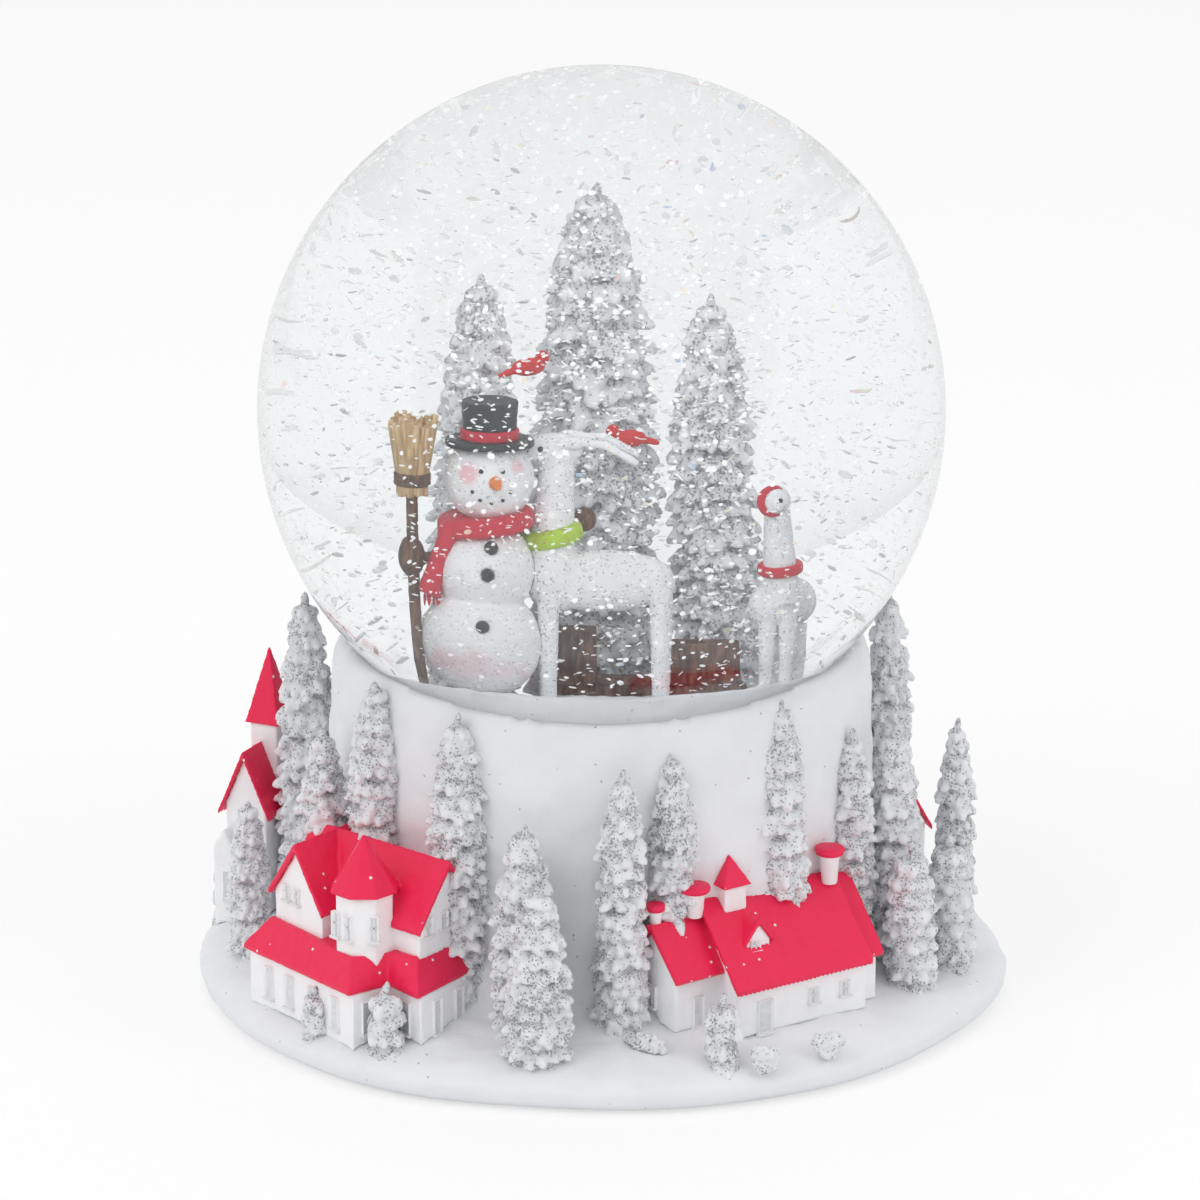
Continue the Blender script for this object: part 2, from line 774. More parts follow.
def plant_all(stands, models, slot, seed):
    rng = random.Random(seed)
    for node, name in stands.items():
        plant(name, node, models, slot, rng)
    drop(*[model[2] for model in models])


def make_firs():
    plant_all(STANDS, grow_models("fir_model", FIR_MODELS, 11), "snow_resin", 5)


# ---------------------------------------------------------------- houses

def cast_roof(name, node):
    piece = cad_copy(name, node)
    soften(piece, 0.25 * MM, 2, 0.14 * MM, 2.2 * MM)
    finish_piece(piece, "roof_red", paint(roof_paint), node)


# Frames of the windows and doors: their rim and depth, how far they stand out, and their bars.
RIM = 0.32 * MM
FRAME_DEPTH = 0.9 * MM
FRAME_OUT = 0.15 * MM
PANE_IN = 0.35 * MM
BAR = 0.26 * MM
BAR_DEPTH = 0.3 * MM


def opening(near, facing, width, height, door=False):
    """A framed pane or door, laid on the wall that is found behind a point in front of it."""
    surround = slab("surround", (0, -FRAME_OUT, 0), (width, FRAME_DEPTH, height))

    def sink_front():
        choose(surround, "polygons", lambda face: face.normal.y < -0.9)
        bpy.ops.mesh.inset(thickness=RIM)
        bpy.ops.transform.translate(value=(0, PANE_IN, 0))

    edit(surround, sink_front)
    surround.data.materials.append(paint(wall_paint))
    surround.data.materials.append(paint(pane_paint))
    for face in surround.data.polygons:
        middle = abs(face.center.x) + abs(face.center.z) < 0.1 * RIM
        face.material_index = 1 if middle and face.normal.y < -0.9 else 0
    bars = []
    if not door:
        bars.append(slab("bar", (0, -PANE_IN, 0), (BAR, BAR_DEPTH, height - RIM)))
        bars.append(slab("bar", (0, -PANE_IN, height * 0.08), (width - RIM, BAR_DEPTH, BAR)))
    sill = slab("sill", (0, -PANE_IN, -height / 2), (width + 0.5 * MM, 1.1 * MM, 0.5 * MM), edge=0.12 * MM)
    piece = joined("opening", [surround, sill] + bars)
    yaw = math.atan2(facing.y, facing.x) + math.pi / 2
    piece.matrix_world = Matrix.Translation(near) @ Matrix.Rotation(yaw, 4, "Z")
    return settle(piece)


SIGHT = 14 * MM             # from how far outside a wall is looked for


def on_wall(walls, x, y, z, bearing):
    """The point of a wall seen from outside along a bearing, in millimetres and degrees, and its facing."""
    away = Vector((math.cos(math.radians(bearing)), math.sin(math.radians(bearing)), 0))
    start = Vector((x, y, z)) * MM + away * SIGHT
    found, place, normal, _ = walls.ray_cast(start, -away)
    if not found:
        raise RuntimeError(f"no wall behind ({x}, {y}, {z})")
    return place, Vector((normal.x, normal.y, 0))


def fit_openings(name, walls, rows):
    """Windows and doors of a house: (x, y, z, bearing, width, height, door) in millimetres and degrees."""
    piece = joined(name, [opening(*on_wall(walls, x, y, z, bearing), width * MM, height * MM, door)
                          for x, y, z, bearing, width, height, door in rows])
    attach(piece, "globe")


def cast_walls(name, node, openings):
    walls = cad_copy(name, node)
    fit_openings(name + "_openings", walls, openings)
    soften(walls, 0.33 * MM, 2, 0.12 * MM, 2.2 * MM)
    finish_piece(walls, "snow_resin", paint(wall_paint), node)


TURRET_HOUSE_OPENINGS = [
    # upper floor: left gable, turret, right gable
    (-53.0, -35.6, 27.6, -127.0, 1.7, 3.0, False),
    (-54.8, -33.4, 27.6, -127.0, 1.7, 3.0, False),
    (-45.0, -46.0, 26.8, -157.5, 1.7, 4.6, False),
    (-43.0, -48.6, 26.8, -112.5, 1.7, 4.6, False),
    (-38.5, -49.0, 26.8, -67.5, 1.7, 4.6, False),
    (-26.4, -45.0, 26.8, -41.0, 1.8, 3.2, False),
    (-29.0, -48.0, 26.8, -41.0, 1.8, 3.2, False),
    # ground floor below the porch roof
    (-58.2, -35.0, 11.6, -140.0, 2.2, 6.0, True),
    (-54.5, -39.5, 11.6, -140.0, 2.2, 6.0, True),
    (-50.2, -44.6, 11.6, -140.0, 2.2, 6.0, True),
    (-46.2, -49.4, 11.6, -140.0, 2.2, 6.0, True),
    (-39.8, -51.0, 11.6, -53.0, 2.3, 6.0, True),
    (-33.6, -51.6, 11.6, -128.0, 2.3, 6.0, True),
    (-28.0, -50.4, 11.6, -34.0, 2.2, 6.4, True),
    (-24.4, -45.2, 11.6, -34.0, 2.2, 6.4, True),
    (-21.0, -40.2, 11.6, -34.0, 2.2, 6.4, True),
]
COTTAGE_OPENINGS = [
    (28.4, -50.6, 11.4, -56.5, 3.0, 6.2, True),
    (42.4, -41.4, 13.0, -56.5, 2.0, 2.8, False),
    (37.0, -45.0, 13.0, -56.5, 2.0, 2.8, False),
    (14.2, -46.0, 12.0, -54.0, 2.2, 5.6, True),
    (8.0, -47.6, 14.0, -144.0, 2.0, 4.0, False),
    (27.0, -46.6, 22.6, -56.5, 2.0, 2.0, False),
]
CHURCH_OPENINGS = [
    (-64.7, 7.6, 26.0, -115.6, 2.4, 4.6, False),
    (-67.8, 6.2, 14.0, -115.6, 2.2, 5.6, True),
    (-62.6, 5.2, 14.0, -115.6, 1.8, 4.0, False),
]
BACK_OPENINGS = [
    (58.0, 22.0, 15.0, 17.0, 2.2, 4.0, False),
    (56.5, 27.0, 13.5, 17.0, 2.6, 6.4, True),
    (-4.0, 60.0, 14.0, 95.0, 2.2, 4.0, False),
    (-10.0, 59.0, 13.0, 95.0, 2.6, 6.2, True),
]


def make_turret_house():
    cast_walls("turret_house", "turret_house_walls", TURRET_HOUSE_OPENINGS)
    cast_roof("turret_house_red_roofs", "turret_house_roofs")
    cast_roof("turret_house_red_porch", "turret_house_porch_roof")


# The cottage's annex, in millimetres: a corner of its roof, the run of the ridge and the width across it.
ANNEX_PLAN = ((3.6, -41.8), (11.0, 8.0), (8.8, -11.5))
ANNEX_EAVE, ANNEX_RIDGE = 18.6 * MM, 26.0 * MM
ANNEX_ROOF_T = 1.1 * MM


def annex_slopes():
    """The two slopes of the annex's pitched roof, laid on its walls."""
    corner, run, width = (Vector((*pair, 0)) * MM for pair in ANNEX_PLAN)
    thick = ANNEX_ROOF_T
    ridge = corner + width / 2 + Vector((0, 0, ANNEX_RIDGE))
    slopes = []
    for side in (0, 1):
        eave = corner + width * side + Vector((0, 0, ANNEX_EAVE))
        rise = ridge - eave
        up = run.cross(rise).normalized()
        up = up if up.z > 0 else -up
        slope = slab("slope", (0, 0, 0), (run.length, rise.length + thick, thick), edge=0.25 * MM)
        axes = Matrix((run.normalized(), up.cross(run).normalized(), up)).transposed().to_4x4()
        slope.matrix_world = Matrix.Translation((eave + ridge + run + up * thick) / 2) @ axes
        slopes.append(settle(slope))
    return slopes


def shaft_profile(foot, tip, wide):
    """A tapered pot with a flare under its cap."""
    top = tip - 1.4 * MM
    return [(0, foot), (wide * 0.5, foot), (wide * 0.62, tip - 2.24 * MM), (wide * 0.8, top), (0, top)]


def cap_profile(foot, tip, wide):
    """A thick round lid."""
    low = tip - 1.5 * MM
    return [(0, low), (wide * 0.86, low), (wide, low + 0.5 * MM), (wide * 0.96, tip - 0.2 * MM),
            (wide * 0.5, tip), (0, tip)]


def chimney_parts(name, profile, steps, edge, angle):
    piece = joined(name, [turned(name, profile(foot, tip, wide), steps, (x, y, 0))
                          for x, y, foot, tip, wide in loose_boxes("cottage_chimneys")])
    ease_edges(piece, edge)
    shade(piece, angle)
    return piece


def make_cottage():
    cast_walls("cottage", "cottage_walls", COTTAGE_OPENINGS)
    cast_roof("cottage_red_roofs", "cottage_roofs")
    finish_piece(joined("annex_red_roof", annex_slopes()), "roof_red", paint(roof_paint))
    shafts = chimney_parts("chimney_shafts", shaft_profile, 16, 0.25 * MM, 40)
    finish_piece(shafts, "snow_resin", paint(wall_paint))
    caps = chimney_parts("chimney_caps", cap_profile, 20, 0.2 * MM, 50)
    finish_piece(caps, "roof_red", paint(roof_paint), "cottage_chimneys")


def make_church():
    cast_walls("church", "church_walls", CHURCH_OPENINGS)
    cast_roof("church_red_roofs", "church_roofs")


def make_back_cottages():
    cast_walls("back_cottages", "back_cottage_walls", BACK_OPENINGS)
    cast_roof("back_cottages_red_roofs", "back_cottage_roofs")


# ---------------------------------------------------------------- ball, water and flakes

def ball(name, radius):
    return settle(added(name, bpy.ops.mesh.primitive_uv_sphere_add, segments=160, ring_count=112,
                        radius=radius, location=(0, 0, BALL_Z)))


def make_glass():
    """The blown ball: its neck goes down inside the collar, and its wall has its real thickness."""
    piece = ball("glass_ball", BALL_R)
    shoulder = BALL_Z - math.sqrt(BALL_R**2 - NECK_R**2)

    def open_neck():
        bpy.ops.mesh.bisect(plane_co=(0, 0, shoulder), plane_no=(0, 0, 1), clear_inner=True)

    def on_shoulder(edge):
        return all(abs(piece.data.vertices[v].co.z - shoulder) < MERGE for v in edge.vertices)

    def draw_neck():
        choose(piece, "edges", on_shoulder)
        bpy.ops.mesh.extrude_edges_move(TRANSFORM_OT_translate={"value": (0, 0, BALL_LOW.z - shoulder)})

    edit(piece, open_neck, draw_neck, choose_all, heal)
    modify(piece, "SOLIDIFY", thickness=BALL_R - WATER_R, offset=-1.0, use_even_offset=True)
    shade(piece, 50)
    finish_piece(piece, "globe_glass", paint(clear_glass, "blown_glass", 1.45, (0.960, 0.968, 0.972)),
                 "globe_glass")


INTO_GLASS = 0.1 * MM


def make_water():
    """The water fills the ball, and reaches just into the glass so that no air shows between them."""
    piece = ball("water", WATER_R + INTO_GLASS)
    edit(piece, lambda: bpy.ops.mesh.bisect(plane_co=(0, 0, WATER_LOW.z - INTO_GLASS), plane_no=(0, 0, 1),
                                            clear_inner=True, use_fill=True))
    shade(piece, 50)
    finish_piece(piece, "liquid", paint(clear_glass, "clear_water", 1.333, (0.985, 0.992, 0.994)), "liquid")


def flake_paint():
    mix = Paint("film_flakes")
    tone = mix.noise(2.0 * MM, 2.0).step(0.3, 0.7)
    colour = mix.mix(tone, (0.92, 0.925, 0.93, 1), (0.97, 0.97, 0.975, 1))
    return mix.surface(Base_Color=colour, Roughness=tone * 0.2 + 0.45,
                       Emission_Color=WHITE, Emission_Strength=0.14)


def pearl_paint():
    """Film that flashes pale blue, pink and yellow."""
    mix = Paint("pearl_film")
    hue = mix.noise(3.0 * MM, 1.0)
    colour = mix.node("ShaderNodeValToRGB", {"stops": [
        (0.30, (0.45, 0.68, 0.95, 1)), (0.45, (0.93, 0.95, 0.97, 1)),
        (0.58, (0.98, 0.90, 0.62, 1)), (0.70, (0.96, 0.66, 0.78, 1))]}, {"Fac": hue})
    return mix.surface(Base_Color=colour, Roughness=hue * 0.1 + 0.15, Alpha=0.45)


def flake_model():
    """A thin six-sided cut of film."""
    piece = added("flake", bpy.ops.mesh.primitive_circle_add, vertices=6, radius=0.5, fill_type="NGON")

    def shape():
        bpy.ops.mesh.extrude_region_move(TRANSFORM_OT_translate={"value": (0, 0, 0.22)})
        bpy.ops.transform.resize(value=(0.9, 0.9, 1))

    edit(piece, shape, choose_all, heal)
    return piece


# Loose flakes, in millimetres: how far they keep off the ground and the glass, and the film near the glass.
OFF_GROUND = 0.6
OFF_GLASS = 1.2
FILM_OFF_GLASS = 1.6
FILM_LAYER = 12
FILM_FLAKES = 420
CUTS = (0.7, 0.9, 1.0, 1.2, 1.5)            # widths that the film is cut to, as shares of the usual one

# The room of the figures, which flakes keep out of, in millimetres about the ball's middle.
SNOWMAN_X, SNOWMAN_Y, SNOWMAN_R, SNOWMAN_TOP = -18, -12, 11.5, 6
DEER_X, DEER_BACK, DEER_FRONT, DEER_TOP = 12, -4, -16, 0
FIRS_X, FIRS_Y, FIRS_R, FIRS_TAPER, FIRS_FOOT, FIRS_TOP = -1, 12, 20, 0.42, -36, 30


def in_figures(x, y, z):
    """True where the figures stand."""
    snowman = (x - SNOWMAN_X) ** 2 + (y - SNOWMAN_Y) ** 2 < SNOWMAN_R ** 2 and z < SNOWMAN_TOP
    deer = abs(x) < DEER_X and DEER_FRONT < y < DEER_BACK and z < DEER_TOP
    firs_r = FIRS_R - FIRS_TAPER * (z - FIRS_FOOT)
    firs = (x - FIRS_X) ** 2 + (y - FIRS_Y) ** 2 < firs_r ** 2 and z < FIRS_TOP
    return snowman or deer or firs


def float_flakes(rng, count, inner, outer, fill):
    """Places between two spheres and above the ground, of which a share may lie where the figures stand."""
    places = []
    ground = (GROUND_HIGH.z - BALL_Z) / MM
    while len(places) < count:
        x, y, z = (rng.uniform(-outer, outer) for _ in range(3))
        reach = math.sqrt(x * x + y * y + z * z)
        if not inner < reach < outer or z < ground + OFF_GROUND:
            continue
        if in_figures(x, y, z) and rng.random() > fill:
            continue
        places.append((x, y, z))
    return places


def flake_place(rng, x, y, z, long, wide, thick):
    turn = Matrix.Rotation(rng.uniform(0, math.tau), 4, "Z") @ Matrix.Rotation(rng.uniform(-0.9, 0.9), 4, "X")
    return (Matrix.Translation((x * MM, y * MM, BALL_Z + z * MM)) @ turn
            @ Matrix.Rotation(rng.uniform(0, math.tau), 4, "Z") @ Matrix.Diagonal((long, wide, thick, 1)))


def make_flakes():
    rng = random.Random(24)
    model = flake_model()
    side = sizes().flake_side
    places = []
    for x, y, z in float_flakes(rng, sizes().flakes, 0, WATER_R / MM - OFF_GLASS, 0.0):
        rim = 1 - 0.35 * max(0, math.hypot(x, z) * MM / WATER_R - 0.6) / 0.4
        long = side * rim * rng.choice(CUTS) * rng.uniform(0.85, 1.15)
        places.append(flake_place(rng, x, y, z, long, long * rng.uniform(0.65, 0.95), side * 0.5))
    piece = scatter("white_flakes", model, places)
    finish_piece(piece, "flake_white", paint(flake_paint), "snow_flakes")
    film = []
    inner, outer = WATER_R / MM - FILM_LAYER, WATER_R / MM - FILM_OFF_GLASS
    for x, y, z in float_flakes(rng, FILM_FLAKES, inner, outer, 1.0):
        long = side * rng.uniform(1.2, 2.4)
        film.append(flake_place(rng, x, y, z, long, long * 0.6, side * 0.2))
    piece = scatter("pearl_flakes", model, film)
    finish_piece(piece, "flake_white", paint(pearl_paint))
    drop(model)


# ---------------------------------------------------------------- scene in the ball

def cast_figure(name, slot, material, node, grain=0.24 * MM, rounds=2, ripple=0.10 * MM,
                ripple_size=1.2 * MM):
    """A small casting with soft edges."""
    piece = cad_copy(name, node)
    soften(piece, grain, rounds, ripple, ripple_size)
    return finish_piece(piece, slot, material, node)


BEAD_FLAT = 0.6


def set_eyes(name, deer, *eyes):
    """Black beads on the front of a deer's head: (x, z, radius) in millimetres."""
    beads = []
    for x, z, radius in eyes:
        found, place, _, _ = deer.ray_cast(Vector((x * MM, BALL_LOW.y, z * MM)), Vector((0, 1, 0)))
        if not found:
            raise RuntimeError(f"no deer behind ({x}, {z})")
        size = (radius * MM, radius * BEAD_FLAT * MM, radius * MM)
        beads.append(lump("bead", place, size, segments=16, rings=10))
    piece = joined(name, beads)
    modify(piece, "SUBSURF", levels=1)
    shade(piece)
    finish_piece(piece, "coal_black", paint(plain_paint, *COAL))


def make_ground():
    piece = cad_copy("snowy_ground", "scene_ground")
    recast(piece, 0.5 * MM)
    rub_down(piece, 3)
    roughen(piece, 0.9 * MM, 5 * MM)
    roughen(piece, 0.3 * MM, 1.2 * MM)
    shade(piece)
    finish_piece(piece, "snow_resin", paint(cast_snow), "scene_ground")


CHEEKS = ((-18.9, -17.0, 100.4), (-10.9, -17.0, 101.6))


def snowman_paint():
    """White snow with rouged cheeks and fine glitter."""
    mix = Paint("snowman_paint")
    tone = mix.noise(2.4 * MM, 3.0).step(0.3, 0.75)
    colour = mix.mix(tone * 0.20, (0.86, 0.865, 0.88, 1), chosen("shade"))
    for cheek in CHEEKS:
        near = mix.vector("DISTANCE", {0: mix.place, 1: tuple(c * MM for c in cheek)}, "Value")
        colour = mix.mix((1 - near.step(0.8 * MM, 2.3 * MM)) * 0.55, colour, (0.80, 0.22, 0.28, 1))
    cell = mix.cells(0.30 * MM)
    speck = mix.channel(cell, "Red").above(0.93)
    colour = mix.mix(speck * 0.5, colour, (0.50, 0.51, 0.54, 1))
    normal = mix.bump(mix.noise(0.45 * MM, 3.0), 0.10 * MM, 0.7)
    return mix.surface(Base_Color=colour, Roughness=0.55 - speck * 0.3, Normal=normal)


def flecked_paint(name, red, green, blue, size, share, fleck=(0.88, 0.88, 0.90)):
    """Paint of one colour with small flecks of settled snow or a dotted weave."""
    mix = Paint(name)
    tone = mix.noise(1.1 * MM, 3.0).step(0.3, 0.75)
    colour = mix.mix(tone * 0.3, (red, green, blue, 1), (red * 0.55, green * 0.55, blue * 0.55, 1))
    spread = mix.cells(size * MM, "Distance")
    picked = mix.channel(mix.cells(size * MM), "Blue").above(1 - share)
    dot = (1 - spread.step(0.13, 0.24)) * picked
    colour = mix.mix(dot, colour, (*fleck, 1))
    normal = mix.bump(mix.noise(0.3 * MM, 3.0) + dot * 0.6, 0.08 * MM, 0.7)
    return mix.surface(Base_Color=colour, Roughness=tone * 0.1 + 0.45, Normal=normal)


def bark_paint():
    """Brown twig with grain along its length."""
    mix = Paint("bark_paint")
    grain = mix.noise(0.5 * MM, 4.0, (1.0, 1.0, 0.22))
    colour = mix.mix(grain.step(0.35, 0.7), (0.060, 0.030, 0.020, 1), (0.20, 0.105, 0.065, 1))
    normal = mix.bump(grain, 0.22 * MM, 0.9)
    return mix.surface(Base_Color=colour, Roughness=grain * 0.2 + 0.5, Normal=normal)


def straw_paint():
    """Dry straw, lighter on some stalks than on others."""
    mix = Paint("straw_paint")
    grain = mix.noise(0.7 * MM, 3.0, (1.0, 1.0, 0.10))
    colour = mix.mix(grain.step(0.32, 0.68), (0.42, 0.26, 0.12, 1), (0.70, 0.52, 0.30, 1))
    normal = mix.bump(grain, 0.10 * MM, 0.7)
    return mix.surface(Base_Color=colour, Roughness=grain * 0.2 + 0.5, Normal=normal)


def frosted_white(name, glint, darkness, size=0.40):
    """White casting dusted with silver glitter."""
    mix = Paint(name)
    tone = mix.noise(2.0 * MM, 3.0).step(0.3, 0.75)
    cell = mix.cells(size * MM)
    chance = mix.channel(cell, "Red")
    bright = mix.channel(cell, "Green")
    glitter = (chance + tone * 0.12).above(1.0 - glint)
    flake = mix.mix(bright.step(0.3, 0.7), (darkness, darkness, darkness * 1.06, 1), (0.90, 0.91, 0.93, 1))
    snow = mix.mix(tone * 0.35, (0.84, 0.85, 0.87, 1), chosen("shade"))
    colour = mix.mix(glitter * 0.8, snow, flake)
    normal = mix.bump(mix.noise(0.5 * MM, 3.0), 0.12 * MM, 0.7)
    normal = mix.bump(mix.facets(size * MM) * glitter, 0.12 * MM, 0.7, normal)
    return mix.surface(Base_Color=colour, Roughness=0.56 - glitter * 0.3, Metallic=glitter * 0.5,
                       Normal=normal)


# Hand-laid paints: name, colour, roughness, shift in tone and its size in millimetres.
COAL = ("coal", 0.012, 0.012, 0.014, 0.35, 0.4, 0.5)
CARROT = ("carrot", 0.78, 0.20, 0.030, 0.45, 0.5, 0.6)
DEER_FROST = ("deer_frost", 0.05, 0.55, 0.30)


def red_wool(name, size, share):
    """The scarf's red with flecks of this size in millimetres, over a share of it."""
    return paint(flecked_paint, name, *chosen("scarf")[:3], size, share)


def make_snowman():
    cast_figure("snowman", "snowman_white", paint(snowman_paint), "snowman_body", ripple=0.16 * MM)
    cast_figure("top_hat", "hat_black", paint(flecked_paint, "hat_felt", 0.018, 0.030, 0.034, 1.2, 0.22),
                "snowman_hat", grain=0.2 * MM)
    cast_figure("top_hat_band", "scarf_red", red_wool("band_red", 0.9, 0.15), "hat_band", grain=0.16 * MM,
                ripple=0.04 * MM)
    cast_figure("coal_eyes_and_buttons", "coal_black", paint(plain_paint, *COAL), "snowman_coal",
                grain=0.13 * MM, rounds=1, ripple=0.05 * MM, ripple_size=0.5 * MM)
    cast_figure("carrot", "carrot_orange", paint(plain_paint, *CARROT), "snowman_nose", grain=0.13 * MM,
                rounds=1, ripple=0.06 * MM, ripple_size=0.5 * MM)
    cast_figure("twig_arms", "twig_brown", paint(bark_paint), "snowman_arms", grain=0.2 * MM,
                ripple=0.14 * MM)


FRINGE = 6


def make_scarf():
    """The knitted scarf with a fringe at the end of its tail."""
    wool = cad_copy("scarf_wool", "snowman_scarf")
    soften(wool, 0.2 * MM, 1, 0.22 * MM, 0.9 * MM)
    points = points_of(wool)
    foot = points[:, 2].min()
    hem = points[points[:, 2] < foot + 0.7 * MM]
    low, high = hem.min(axis=0), hem.max(axis=0)
    threads = []
    for k in range(FRINGE):
        x = low[0] + (high[0] - low[0]) * (k + 0.5) / FRINGE
        y = (low[1] + high[1]) / 2
        lean = 0.25 * MM * math.sin(k * 2.1)
        threads.append(rod("thread", (x, y, foot + 0.7 * MM), (x + lean, y - 0.1 * MM, foot - 1.5 * MM),
                           0.28 * MM, 0.16 * MM, 10))
    fringe = joined("fringe", threads)
    modify(fringe, "SUBSURF", levels=1)
    piece = joined("knitted_scarf", [wool, fringe])
    shade(piece)
    finish_piece(piece, "scarf_red", red_wool("scarf_knit", 0.9, 0.32), "snowman_scarf")


BROOM_ROWS = ((30, 0.90), (18, 0.62), (8, 0.30))    # stalks in each ring, and its share of the bundle
SCALLOP = 1.1 * MM
CORD_TURNS = 3


def make_broom():
    """The besom: bristles bound to a stick."""
    rng = random.Random(3)
    low, high = (Vector(corner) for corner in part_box("broom_straw"))
    band_low, band_high = (Vector(corner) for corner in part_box("broom_binding"))
    axis = Vector(((low.x + high.x) / 2, (low.y + high.y) / 2, 0))
    waist_z = (band_low.z + band_high.z) / 2
    waist_r = (band_high.x - band_low.x) / 2 * 0.86
    fan_r = (high.x - low.x) / 2
    stalks = []
    for count, share in BROOM_ROWS:
        for k in range(count):
            turn = math.tau * (k + rng.uniform(-0.2, 0.2)) / count
            way = Vector((math.cos(turn), math.sin(turn), 0)) * share
            waist = axis + way * waist_r + Vector((0, 0, waist_z))
            scallop = SCALLOP * abs(math.sin(turn * 1.5))
            top = axis + way * fan_r * rng.uniform(0.92, 1.0)
            top.z = high.z - scallop - rng.uniform(0, 0.6) * MM
            end = axis + way * waist_r * 1.02
            end.z = low.z + rng.uniform(0, 0.5) * MM
            stalks.append(rod("stalk", waist, top, 0.42 * MM, 0.46 * MM, 8))
            stalks.append(rod("stalk", end, waist, 0.34 * MM, 0.42 * MM, 8))
    straw = joined("broom_bristles", stalks)
    ease_edges(straw, 0.10 * MM, 1)
    shade(straw, 50)
    finish_piece(straw, "straw_tan", paint(straw_paint), "broom_straw")
    cords = []
    for k in range(CORD_TURNS):
        z = band_low.z + (k + 0.5) * (band_high.z - band_low.z) / CORD_TURNS
        cords.append(settle(added("turn", bpy.ops.mesh.primitive_torus_add, location=(axis.x, axis.y, z),
                                  major_radius=waist_r * 1.08, minor_radius=0.36 * MM, major_segments=64,
                                  minor_segments=12)))
    knot = lump("knot", (axis.x + 0.4 * MM, axis.y - waist_r * 1.12, waist_z), (0.8 * MM, 0.5 * MM, 0.7 * MM))
    binding = joined("broom_cord", cords + [knot])
    recast(binding, 0.11 * MM)
    roughen(binding, 0.08 * MM, 0.35 * MM)
    shade(binding)
    finish_piece(binding, "twig_brown", paint(bark_paint), "broom_binding")
    cast_figure("broom_handle", "twig_brown", paint(bark_paint), "broom_stick", grain=0.17 * MM,
                ripple=0.16 * MM, ripple_size=1.4 * MM)


def make_big_deer():
    deer = cast_figure("big_deer_cast", "deer_white", paint(frosted_white, *DEER_FROST), "big_deer",
                       ripple=0.12 * MM)
    set_eyes("big_deer_eyes", deer, (-8.3, 102.3, 0.42))
    dotted = paint(flecked_paint, "lime_dotted", *chosen("lime")[:3], 0.8, 0.75, (0.62, 0.02, 0.04))
    cast_figure("big_deer_scarf", "scarf_green", dotted, "deer_scarf", grain=0.18 * MM, ripple=0.14 * MM,
                ripple_size=0.8 * MM)


def make_small_deer():
    deer = cast_figure("small_deer_cast", "deer_white", paint(frosted_white, *DEER_FROST), "small_deer",
                       grain=0.2 * MM)
    set_eyes("small_deer_eyes", deer, (22.0, 94.6, 0.34), (24.4, 94.8, 0.34))
    cast_figure("small_deer_bridle", "scarf_red", red_wool("bridle_red", 0.8, 0.2), "small_deer_harness",
                grain=0.16 * MM, rounds=1, ripple=0.06 * MM, ripple_size=0.6 * MM)


def make_sleigh():
    cast_figure("wooden_sleigh", "sleigh_brown", paint(bark_paint), "sleigh", grain=0.25 * MM)


def make_birds():
    cast_figure("red_birds", "bird_red", paint(flecked_paint, "bird_feathers", 0.62, 0.020, 0.025, 0.8, 0.18),
                "cardinals", grain=0.13 * MM, ripple=0.10 * MM, ripple_size=0.6 * MM)


INNER_FIR_MODELS = [(60, 8.0)]
INNER_FIRS = {f"inner_fir_{side}": f"silver_fir_{side}" for side in ("left", "middle", "right")}


def make_inner_firs():
    plant_all(INNER_FIRS, grow_models("inner_fir_model", INNER_FIR_MODELS, 41), "fir_silver", 8)


# ---------------------------------------------------------------- underside and movement

def brushed(name, red, green, blue, roughness, stretch):
    """Worked metal with its tool lines; the stretch thins the noise along the lines."""
    mix = Paint(name)
    lines = mix.noise(0.14 * MM, 3.0, stretch)
    stain = mix.noise(3.0 * MM, 3.0).step(0.35, 0.75)
    dulled = (red * 0.72, green * 0.70, blue * 0.68, 1)
    colour = mix.mix(lines * 0.35 + stain * 0.3, (red, green, blue, 1), dulled)
    normal = mix.bump(lines, 0.012 * MM, 0.6)
    return mix.surface(Base_Color=colour, Metallic=1.0, Normal=normal,
                       Roughness=lines * 0.16 + stain * 0.1 + (roughness - 0.1))


def die_cast():
    """Sandy grey die-cast zinc."""
    mix = Paint("die_cast")
    grain = mix.noise(0.35 * MM, 4.0)
    stain = mix.noise(4.0 * MM, 3.0).step(0.35, 0.75)
    colour = mix.mix(stain * 0.5 + grain * 0.2, (0.56, 0.57, 0.58, 1), (0.40, 0.41, 0.42, 1))
    return mix.surface(Base_Color=colour, Metallic=0.9, Roughness=grain * 0.2 + 0.38,
                       Normal=mix.bump(grain, 0.04 * MM, 0.7))


def moulded(name, red, green, blue, roughness, grain):
    """Moulded plastic or rubber with a fine mould texture and faint flow marks."""
    mix = Paint(name)
    fine = mix.noise(0.30 * MM, 3.0)
    flow = mix.noise(7.0 * MM, 3.0).step(0.3, 0.8)
    dulled = (red * 0.84, green * 0.84, blue * 0.85, 1)
    colour = mix.mix(flow * 0.25 + fine * 0.1, (red, green, blue, 1), dulled)
    return mix.surface(Base_Color=colour, Roughness=fine * 0.16 + flow * 0.08 + (roughness - 0.1),
                       Normal=mix.bump(fine, grain * MM, 0.6))


